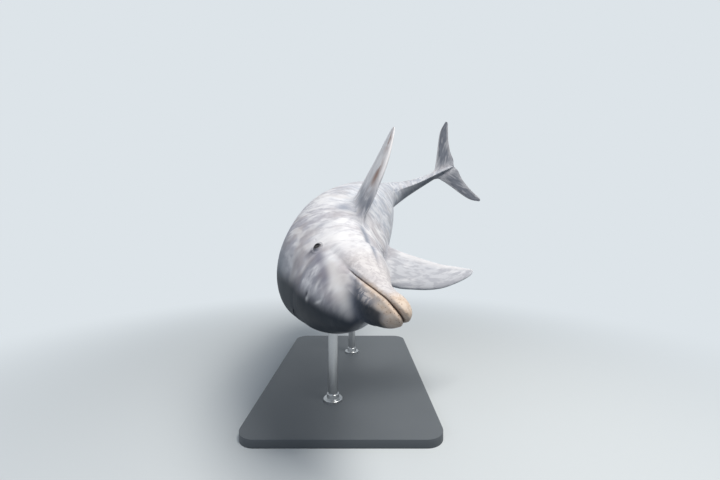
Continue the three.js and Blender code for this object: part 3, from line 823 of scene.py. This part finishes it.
chord, reach = flow[:, 3], flow[:, 4]
upper_face = flow[:, 2] > 0
on_flipper = ((fin_form == 1) | (fin_form == 2)) * upper_face
flipper_tone = np.where(upper_face, 0.90 - 0.78 * ease(0.10, 0.40, reach), 0.14)
fluke_tone = np.where(upper_face, 1.0, 0.9 - 0.35 * (1 - ease(0.05, 0.3, reach)))
pale_back = ease(0.74, 0.96, chord) * ease(0.05, 0.3, reach)
pale_lead = (1 - ease(0.03, 0.12, chord)) * ease(0.3, 0.55, reach)
pale_front = 1 - ease(0.03, 0.16, chord)
tone = np.choose(fin_form, [0, flipper_tone, flipper_tone, fluke_tone, 1])
pale_edge = np.choose(fin_form, [0, np.maximum(pale_back, pale_lead), pale_back,
                                 np.maximum(pale_front, 0.5 * pale_back), 0.4 * pale_front])
pale_streak = np.choose(fin_form, [0, 1, 1, 0.8, 0.15])
pale_tip = on_flipper * ease(0.2, 0.5, reach)
tan = on_flipper * np.maximum(hump(np.hypot((chord - 0.20) / 0.14, (reach - 0.45) / 0.15), 1),
                              hump(np.hypot((chord - 0.22) / 0.24, (reach - 0.85) / 0.13), 1))
masks.update(tone=tone, pale_edge=pale_edge, pale_streak=pale_streak, pale_tip=pale_tip, tan=tan)
print("points that borrow a fin's streaks:", int(near_fin.sum()))

# %% The lie of the streaks, and all of it kept on the points
ALONG, ACROSS = 0.89, 0.45     # cosine and sine of the streaks' slant against rings of the body
DRAWN_OUT = 0.34               # which makes them about three times as long as they are wide
arc = np.radians(below) * through(WIDTH, s) * 1.05     # about the millimetres round the body
lean = ACROSS * ease(200, 560, s)
lie = np.stack([ALONG * s - lean * arc, (ACROSS * s + ALONG * arc) * DRAWN_OUT, 0.5 * y], -1)


def keep(mesh, name, values):
    """Stores one number, or three, for each point under a name."""
    sort, field = ("FLOAT", "value") if values.ndim == 1 else ("FLOAT_VECTOR", "vector")
    stored_as = mesh.attributes.new(name, sort, "POINT")
    stored_as.data.foreach_set(field, np.ascontiguousarray(values, np.float32).ravel())


for name, values in masks.items():
    keep(joined, name, values.astype(float))
keep(joined, "rest", straight * MM)
keep(joined, "lie", lie * MM)
keep(joined, "flow", flow[:, :3] * MM)
joined.polygons.foreach_set("use_smooth", [True] * len(joined.polygons))
print("masks:", sorted(masks))

# %% [markdown]
# ## Skin
# Dolphin skin is smooth and rubbery, with no hair and no scales, and it sheds so fast that it
# stays clean. To the eye it is satin, never glossy, with a soft pale bloom, partly painted dapples
# of light, and smudged grey blotches, drawn out slantwise along the flanks. The blotches are
# noise read in the straight places, squeezed along the lie of the streaks, so that they bend with
# the animal. The specks on the jaws are the cells of a Voronoi pattern. The colours lie over each
# other like thin glazes, each held to its masks, and some of the glazes are painted shade. That
# takes many nodes but keeps every mark by itself, so that one can be changed without the others.

# %% Colours and the node helper
def linear(hex_colour):
    """An sRGB hex colour as linear red, green, blue and alpha."""
    parts = [int(hex_colour[i:i + 2], 16) / 255 for i in (0, 2, 4)]
    return [p / 12.92 if p <= 0.04045 else ((p + 0.055) / 1.055) ** 2.4 for p in parts] + [1.0]


def add(tree, kind, inputs=None, **settings):
    """Adds a node, sets it, and links or sets its inputs by name or number."""
    made = tree.nodes.new(kind)
    for name, value in settings.items():
        setattr(made, name, value)
    for name, value in (inputs or {}).items():
        if isinstance(value, bpy.types.NodeSocket):
            tree.links.new(value, made.inputs[name])
        else:
            made.inputs[name].default_value = value
    return made


def new_material(name):
    """An empty material and its node tree."""
    material = bpy.data.materials.new(name)
    material.use_nodes = True
    material.node_tree.nodes.clear()
    return material, material.node_tree


def per_mm(size):
    """The scale that makes a pattern's features this many millimetres across."""
    return 1000 / size


print("cream in linear light:", [round(v, 3) for v in linear("EBD6C2")])

# %% Dolphin skin, satin and smudged: the clouds
dolphin_skin, tree = new_material("dolphin_skin_satin")
part = {name: add(tree, "ShaderNodeAttribute", attribute_name=name).outputs["Fac"]
        for name in masks}
rest_at, lie_at, flow_at = (add(tree, "ShaderNodeAttribute", attribute_name=name).outputs["Vector"]
                            for name in ("rest", "lie", "flow"))

# name, where it is read, size in mm, detail, distortion, and the stretch of noise that is kept
CLOUDS = [
    ("smoke", lie_at, 56, 2.5, 0.35, 0.42, 0.60),      # broad smudges over the flanks
    ("wisps", lie_at, 22, 2.0, 0.25, 0.44, 0.64),      # narrower streaks among them
    ("threads", lie_at, 9, 2.0, 0.10, 0.42, 0.66),     # fine scratches
    # pale patches, partly the skin's own and partly painted dapples of light
    ("bloom_and_dappled_light", lie_at, 34, 2.0, 0.30, 0.52, 0.34),      # pale patches between the smudges
    ("drift", rest_at, 210, 2.0, 0.0, 0.34, 0.58),     # where the animal is more or less smudged
    ("haze", rest_at, 80, 2.0, 0.0, 0.40, 0.62),       # a warm, brownish film
    ("mould", rest_at, 13, 2.5, 0.8, 0.44, 0.57),      # small clouds on the beak
    ("ribs", flow_at, 15, 3.0, 0.3, 0.44, 0.60),       # streaks along the fins
    ("pale_ribs", flow_at, 19, 2.0, 0.2, 0.50, 0.34),  # pale streaks between them
    ("rust", flow_at, 26, 2.0, 0.4, 0.36, 0.52),       # tan blotches on the flippers
]
for name, where, size, detail, warp, low, high in CLOUDS:
    noise = add(tree, "ShaderNodeTexNoise",
                {"Vector": where, "Scale": per_mm(size), "Detail": detail, "Roughness": 0.5,
                 "Distortion": warp})
    part[name] = add(tree, "ShaderNodeMapRange",
                     {"Value": noise.outputs[0], "From Min": low, "From Max": high},
                     interpolation_type="SMOOTHSTEP").outputs[0]
# dark specks 2 to 3 mm across, one in each cell of 6.5 mm
cells = add(tree, "ShaderNodeTexVoronoi",
            {"Vector": rest_at, "Scale": per_mm(6.5), "Randomness": 1.0})
part["speck"] = add(tree, "ShaderNodeMapRange",
                    {"Value": cells.outputs["Distance"], "From Min": 0.26, "From Max": 0.12},
                    interpolation_type="SMOOTHSTEP").outputs[0]
print("masks and clouds:", len(part))

# %% Dolphin skin: the glazes, from the lowest up
# colour, how strongly it covers, and the masks and clouds that it is held to
LAYERS = [
    # flanks, throat and belly, pale patches partly painted light, and painted shade under the belly
    ("9D9CA9", 0.62, ["smoke", "drift", "mottled"]),
    ("A9A8B4", 0.48, ["wisps", "mottled"]),
    ("9A98A4", 0.36, ["threads"]),
    ("F6F5F7", 0.75, ["bloom_and_dappled_light"]),
    ("F6F5F7", 0.50, ["cheek"]),
    ("C9D0DA", 0.40, ["underside"]),
    ("98A3B4", 0.42, ["underside", "wisps"]),
    # forehead, and a brownish film over all
    ("7E7F8D", 0.55, ["melon_smoke", "wisps"]),
    ("FAFAFC", 0.82, ["pale_melon"]),
    ("AC9A90", 0.30, ["haze", "mottled", "smoke"]),
    # dark markings, a crown deepened by painted shade, painted shade on the stock and in folds
    ("6C7581", 0.90, ["cape"]),
    ("0F1D29", 0.96, ["crown"]),
    ("8F93A1", 0.36, ["blotches"]),
    ("807F90", 0.55, ["bridle"]),
    ("4B5764", 0.68, ["shaded_stock"]),
    ("768094", 0.82, ["shade"]),
    # beak and lips, with painted shade on the beak's top and in the crease
    ("E3DDDC", 0.70, ["jaw"]),
    ("A8A2A6", 0.35, ["jaw", "mould"]),
    ("777A85", 0.90, ["pigment"]),
    ("D2CCCB", 0.75, ["pigment", "mould"]),
    ("18212B", 0.94, ["beak_top"]),
    ("4B5260", 0.75, ["crease"]),
    ("EBD6C2", 0.86, ["cream"]),
    ("CBAF96", 0.40, ["cream", "mould"]),
    # round the eye
    ("F1F0F3", 0.60, ["eye_ring", "bloom_and_dappled_light"]),
    ("6A6874", 0.56, ["eye_patch"]),
    ("42414D", 0.48, ["eye_patch", "threads"]),
    ("18171E", 0.97, ["lids"]),
    # specks, the line of the mouth, small marks, and painted shade in the pit and the blowhole
    ("7F5A45", 0.60, ["cream", "speck"]),
    ("463229", 0.95, ["line"]),
    ("F3F1F2", 0.70, ["scars"]),
    ("2F3440", 0.85, ["pit"]),
    ("22252C", 0.95, ["vent"]),
]
# the fins are darker, streaked lengthwise, with pale edges and a tan stain on the flippers
FIN_LAYERS = [
    ("7D828D", 1.00, ["tone"]),
    ("4E5762", 0.75, ["tone", "ribs"]),
    ("F0EFF2", 0.50, ["pale_ribs", "pale_streak"]),
    ("A2A3AE", 0.35, ["ribs"]),
    ("F2F0F1", 0.45, ["pale_tip"]),
    ("84604F", 0.85, ["tan", "rust"]),
    ("EDEBED", 0.75, ["pale_edge"]),
]
coats = {}
for coat, ground, layers in (("body", "E8E7EB", LAYERS), ("fins", "D9DAE0", FIN_LAYERS)):
    colour = add(tree, "ShaderNodeRGB")
    colour.outputs[0].default_value = linear(ground)
    colour = colour.outputs[0]
    for over, strength, held_to in layers:
        share = strength
        for name in held_to:
            share = add(tree, "ShaderNodeMath", {0: share, 1: part[name]},
                        operation="MULTIPLY").outputs[0]
        colour = add(tree, "ShaderNodeMix", {0: share, 6: colour, 7: linear(over)},
                     data_type="RGBA").outputs[2]
    coats[coat] = colour
colour = add(tree, "ShaderNodeMix", {0: part["fin"], 6: coats["body"], 7: coats["fins"]},
             data_type="RGBA").outputs[2]
print("glazes:", len(LAYERS), "on the body,", len(FIN_LAYERS), "on the fins")

# %% Dolphin skin: grain and sheen
# A fine grain, drawn coarser than the real one so that it shows, and the soft lumps of blubber.
# Skin has an IOR near 1.40. The smudges are a little rougher, and the gloss is kept low, because
# living skin meets water rather than air and hardly mirrors the room.
grain = add(tree, "ShaderNodeTexNoise", {"Vector": rest_at, "Scale": per_mm(3.5), "Detail": 3.0})
lumps = add(tree, "ShaderNodeTexNoise", {"Vector": lie_at, "Scale": per_mm(30), "Detail": 2.0})
bump = add(tree, "ShaderNodeBump",
           {"Height": grain.outputs[0], "Strength": 0.10, "Distance": 0.0006})
bump = add(tree, "ShaderNodeBump",
           {"Height": lumps.outputs[0], "Strength": 0.22, "Distance": 0.002,
            "Normal": bump.outputs[0]})
rough = add(tree, "ShaderNodeMapRange",
            {"Value": part["drift"], "To Min": 0.44, "To Max": 0.56}).outputs[0]
skin_shader = add(tree, "ShaderNodeBsdfPrincipled",
                  {"Base Color": colour, "Roughness": rough, "IOR": 1.40,
                   "Specular IOR Level": 0.25, "Normal": bump.outputs[0]})
add(tree, "ShaderNodeOutputMaterial", {"Surface": skin_shader.outputs[0]})
joined.materials.clear()
joined.materials.append(dolphin_skin)
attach(whole, "root")
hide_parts("head", "lower_jaw", "neck_throat", "chest", "abdomen", "loin",
            "tail_stock_front", "tail_stock_rear", "dorsal_fin", "fluke_left", "fluke_right",
            "flipper_left", "flipper_right")
print("skin nodes:", len(tree.nodes))

# %% [markdown]
# ## Eyes
# A dolphin's eye is dark brown. Its pupil is a horseshoe in bright light and wide and round in
# dim light, as here, and a thick clear cornea bulges over it a little. Each eye is a ball of
# rings round its own outward axis, so that pupil, iris and the brown rim of the white are set
# by how far a ring is from the axis. A sphere primitive would need its pole turned, and no
# cornea would stand out of it. A clear coat gives the wet spark.

# %% Wet dark eye
# Cornea and tears have an IOR near 1.38. The iris is fibrous, about a millimetre to the strand.
HEAD_HALF = 125.0                                      # half width of the head at the eyes, mm
dark_eye, tree = new_material("dolphin_eye_wet")
polar = add(tree, "ShaderNodeAttribute", attribute_name="polar").outputs["Fac"]
eye_at = add(tree, "ShaderNodeAttribute", attribute_name="eye_at").outputs["Vector"]
fibres = add(tree, "ShaderNodeTexNoise",
             {"Vector": eye_at, "Scale": per_mm(1.2), "Detail": 4.0}).outputs[0]
eye_colour = add(tree, "ShaderNodeMix", {0: fibres, 6: linear("1A120D"), 7: linear("33231A")},
                 data_type="RGBA").outputs[2]
# radians from the axis at which the pupil ends and the rim of the white begins
pupil_edge = add(tree, "ShaderNodeMapRange",
                 {"Value": polar, "From Min": 0.30, "From Max": 0.36}).outputs[0]
white_edge = add(tree, "ShaderNodeMapRange",
                 {"Value": polar, "From Min": 0.80, "From Max": 0.92}).outputs[0]
eye_colour = add(tree, "ShaderNodeMix", {0: pupil_edge, 6: linear("060606"), 7: eye_colour},
                 data_type="RGBA").outputs[2]
eye_colour = add(tree, "ShaderNodeMix", {0: white_edge, 6: eye_colour, 7: linear("33291F")},
                 data_type="RGBA").outputs[2]
eye_shader = add(tree, "ShaderNodeBsdfPrincipled",
                 {"Base Color": eye_colour, "Roughness": 0.25, "IOR": 1.38,
                  "Coat Weight": 0.3, "Coat Roughness": 0.08})
add(tree, "ShaderNodeOutputMaterial", {"Surface": eye_shader.outputs[0]})
print("eye nodes:", len(tree.nodes))


# %% Eyeballs
def outward_at(side):
    """The eye's outward direction in the pose, and the head's own axes."""
    away = np.array([0, HEAD_HALF * side, EYE["z"]]) / math.hypot(HEAD_HALF, EYE["z"])
    return link_turns[0] @ away, link_turns[0]


BALL_GAP, CORNEA = 0.6, 0.7                            # mm inside the solid eye, and the bulge
for name, side in (("left", -1), ("right", 1)):
    low, high = (np.array(corner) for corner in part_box("eye_" + name))
    centre = (low + high) / 2
    out, head_axes = outward_at(side)
    fore = -head_axes[:, 0]
    rise = np.cross(out, fore) * (1 if side > 0 else -1)
    rings = np.linspace(0.02, math.pi - 0.02, 72)[:, None]
    round_axis = np.linspace(0, 2 * math.pi, 96, endpoint=False)[None, :]
    radius = (EYE["radius"] - BALL_GAP + CORNEA * hump(rings, 0.55)) * MM
    grid = centre + radius[..., None] * (np.cos(rings)[..., None] * out
                                         + (np.sin(rings) * np.cos(round_axis))[..., None] * fore
                                         + (np.sin(rings) * np.sin(round_axis))[..., None] * rise)
    ball = place("eyeball_" + name, closed_mesh("eyeball_" + name, grid))
    flat = (rings + 0 * round_axis).ravel()
    keep(ball.data, "polar", np.concatenate([flat, [0, math.pi]]))
    keep(ball.data, "eye_at", positions(ball.data))
    ball.data.polygons.foreach_set("use_smooth", [True] * len(ball.data.polygons))
    ball.data.materials.append(dark_eye)
    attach(ball, "root")
    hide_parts("eye_" + name)
    print("eye_" + name, "at", centre.round(3))

# %% [markdown]
# ## The stand
# The animal is held as in a museum hall: two steel rods stand in a flat painted base. The base
# is a sheet of steel-faced board with a powder coat, which gives a fine orange-peel grain and
# hides fingerprints. A cut edge would look like a toy, so the top edge is rounded with a bevel,
# which is quicker than a lathe and sharper than subdivision. Each rod stands in a turned collar.

# %% Powder-coated base
# Baked polyester paint: satin, IOR 1.5, with peel about 2.5 mm across and a faint cloudiness.
powder_coat, tree = new_material("powder_coated_board")
where = add(tree, "ShaderNodeTexCoord").outputs["Object"]
peel = add(tree, "ShaderNodeTexNoise",
           {"Vector": where, "Scale": per_mm(2.5), "Detail": 2.0}).outputs[0]
cloud = add(tree, "ShaderNodeTexNoise",
            {"Vector": where, "Scale": per_mm(160), "Detail": 3.0}).outputs[0]
paint = add(tree, "ShaderNodeMix", {0: cloud, 6: linear("62676C"), 7: linear("6C7176")},
            data_type="RGBA").outputs[2]
peel_bump = add(tree, "ShaderNodeBump",
                {"Height": peel, "Strength": 0.2, "Distance": 0.0004}).outputs[0]
paint_rough = add(tree, "ShaderNodeMapRange",
                  {"Value": cloud, "To Min": 0.48, "To Max": 0.60}).outputs[0]
paint_shader = add(tree, "ShaderNodeBsdfPrincipled",
                   {"Base Color": paint, "Roughness": paint_rough, "IOR": 1.50,
                    "Normal": peel_bump})
add(tree, "ShaderNodeOutputMaterial", {"Surface": paint_shader.outputs[0]})


def dressed_copy(node, name, bevel):
    """A copy of a solid with rounded edges, which stands for the solid."""
    made = place(name, frame["nodes"][node].data.copy())
    weld = made.modifiers.new("weld", "WELD")
    weld.merge_threshold = 0.0001
    round_off = made.modifiers.new("round_off", "BEVEL")
    round_off.width, round_off.segments = bevel, 4
    round_off.limit_method, round_off.angle_limit = "ANGLE", math.radians(40)
    round_off.harden_normals = True
    made.data.polygons.foreach_set("use_smooth", [True] * len(made.data.polygons))
    made.data.materials.clear()
    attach(made, "root")
    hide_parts(node)
    return made


base = dressed_copy("stand_base", "base_board", 0.006)
base.data.materials.append(powder_coat)
base_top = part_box("stand_base")[1][2]
print("base top at", round(base_top, 3))

# %% Brushed steel rods and collars
# Stainless steel turned against an abrasive belt: fine marks run round the rod, here 14 mm long
# and half a millimetre apart, coarser than real grit marks so that they show. They break up the
# gloss. A metal keeps the default IOR.
brushed_steel, tree = new_material("brushed_stainless_steel")
where = add(tree, "ShaderNodeTexCoord").outputs["Object"]
MARK_LONG, TIMES_FINER = 14, 26                        # millimetres round, and how much less up
lines_at = add(tree, "ShaderNodeMapping",
               {"Vector": where, "Scale": (1, 1, TIMES_FINER)}).outputs[0]
brush = add(tree, "ShaderNodeTexNoise",
            {"Vector": lines_at, "Scale": per_mm(MARK_LONG), "Detail": 4.0}).outputs[0]
steel = add(tree, "ShaderNodeMix", {0: brush, 6: linear("A7A9AB"), 7: linear("C6C8CA")},
            data_type="RGBA").outputs[2]
steel_rough = add(tree, "ShaderNodeMapRange",
                  {"Value": brush, "To Min": 0.26, "To Max": 0.42}).outputs[0]
steel_bump = add(tree, "ShaderNodeBump",
                 {"Height": brush, "Strength": 0.15, "Distance": 0.0002}).outputs[0]
steel_shader = add(tree, "ShaderNodeBsdfPrincipled",
                   {"Base Color": steel, "Metallic": 1.0, "Roughness": steel_rough,
                    "Normal": steel_bump})
add(tree, "ShaderNodeOutputMaterial", {"Surface": steel_shader.outputs[0]})

# height over the base and radius of the collar, in millimetres
TURNED = [(0.0, 34.0), (7.0, 34.0), (8.5, 32.5), (9.2, 28.0), (10.0, 23.0), (24.0, 21.0),
          (25.5, 19.5), (25.5, 17.2)]
round_rod = np.linspace(0, 2 * math.pi, 64, endpoint=False)
for name in ("stand_rod_front", "stand_rod_rear"):
    rod = frame["nodes"][name]
    for slot in rod.material_slots:
        slot.material = brushed_steel
    low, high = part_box(name)
    x, y = (low[0] + high[0]) / 2, (low[1] + high[1]) / 2
    grid = np.array([[(x + r * MM * math.cos(t), y + r * MM * math.sin(t), base_top + h * MM)
                      for t in round_rod] for h, r in TURNED])
    collar = place(name.replace("stand_rod", "collar"), closed_mesh(name + "_collar", grid))
    collar.data.materials.append(brushed_steel)
    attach(collar, "root")
    print(name, "stands at", round(x, 3), round(y, 3))

# %% [markdown]
# ## Floor and light
# A plain pale floor runs out to a pale distance. The floor is painted close by and glows at the
# backdrop's own level farther off, so no horizon line shows and the shadow under the animal
# stays. A curved studio cove would do the same but needs a long fade of light. Floor and
# distance are pale to the eye and to mirrors only; the light that falls on the animal meets a
# darker room, so they don't wash out its underside. One wide lamp overhead does what sun
# through water does: the upper side is bright and the lower side falls off softly. A weak lamp
# from the camera's left keeps the face readable.

# %% Floor
BACKDROP = linear("DDE4E9")
FILL = 0.38                                            # the room's own light, where 1 is white
FLOOR_RADIUS, FLOOR_SIDES = 14, 96                     # metres, and corners of the disc
FADE_FROM, FADE_TO = 0.5, 2.3                          # metres over which the floor fades


def plainly_seen(tree):
    """1 for the eye, and for what metal or glass shows; 0 for the light that falls on things."""
    ray = add(tree, "ShaderNodeLightPath").outputs
    seen = ray["Is Camera Ray"]
    for other in ("Is Glossy Ray", "Is Transmission Ray"):
        seen = add(tree, "ShaderNodeMath", {0: seen, 1: ray[other]}, operation="MAXIMUM").outputs[0]
    return seen


floor_mesh = bpy.data.meshes.new("floor")
ring = [(FLOOR_RADIUS * math.cos(t), FLOOR_RADIUS * math.sin(t), 0)
        for t in np.linspace(0, 2 * math.pi, FLOOR_SIDES, endpoint=False)]
floor_mesh.from_pydata(ring, [], [list(range(FLOOR_SIDES))])
floor = place("floor", floor_mesh)
floor_paint, tree = new_material("studio_floor")
floor_at = add(tree, "ShaderNodeTexCoord").outputs["Object"]
away = add(tree, "ShaderNodeVectorMath", {0: floor_at}, operation="LENGTH").outputs["Value"]
far = add(tree, "ShaderNodeMapRange", {"Value": away, "From Min": FADE_FROM, "From Max": FADE_TO},
          interpolation_type="SMOOTHSTEP").outputs[0]
seen = plainly_seen(tree)
floor_tone = add(tree, "ShaderNodeMix", {0: seen, 6: linear("535D67"), 7: linear("E2E7EA")},
                 data_type="RGBA").outputs[2]
near_paint = add(tree, "ShaderNodeBsdfDiffuse", {"Color": floor_tone}).outputs[0]
glow = add(tree, "ShaderNodeMapRange", {"Value": seen, "To Min": FILL, "To Max": 1.0}).outputs[0]
far_paint = add(tree, "ShaderNodeEmission", {"Color": BACKDROP, "Strength": glow}).outputs[0]
both = add(tree, "ShaderNodeMixShader", {0: far, 1: near_paint, 2: far_paint}).outputs[0]
add(tree, "ShaderNodeOutputMaterial", {"Surface": both})
floor.data.materials.append(floor_paint)
print("the floor fades out from", FADE_FROM, "to", FADE_TO, "m")

# %% Distance and the room's light
world = bpy.data.worlds.new("studio")
scene.world = world
world.use_nodes = True
tree = world.node_tree
tree.nodes.clear()
soft_fill = add(tree, "ShaderNodeBackground",
                {"Color": linear("D6DEE6"), "Strength": FILL}).outputs[0]
backdrop = add(tree, "ShaderNodeBackground", {"Color": BACKDROP, "Strength": 1.0}).outputs[0]
sky = add(tree, "ShaderNodeMixShader",
          {0: plainly_seen(tree), 1: soft_fill, 2: backdrop}).outputs[0]
add(tree, "ShaderNodeOutputWorld", {"Surface": sky})
print("the room's light:", FILL)


# %% Lamps
def lamp(name, size, power, at, towards, colour):
    """A square lamp of a width in metres and a power in watts, turned towards a place."""
    data = bpy.data.lights.new(name, "AREA")
    data.size, data.energy, data.color = size, power, linear(colour)[:3]
    made = bpy.data.objects.new(name, data)
    made.location = at
    made.rotation_euler = (Vector(towards) - Vector(at)).to_track_quat("-Z", "Y").to_euler()
    scene.collection.objects.link(made)
    print(name, "lamp,", power, "W")


lamp("overhead", 1.5, 80, (1.1, -1.1, 3.1), (0.05, -0.2, 0.7), "FFFCF6")
lamp("face", 1.2, 9.0, (-1.6, -2.4, 1.6), (0.0, -0.5, 0.6), "E8F0FF")
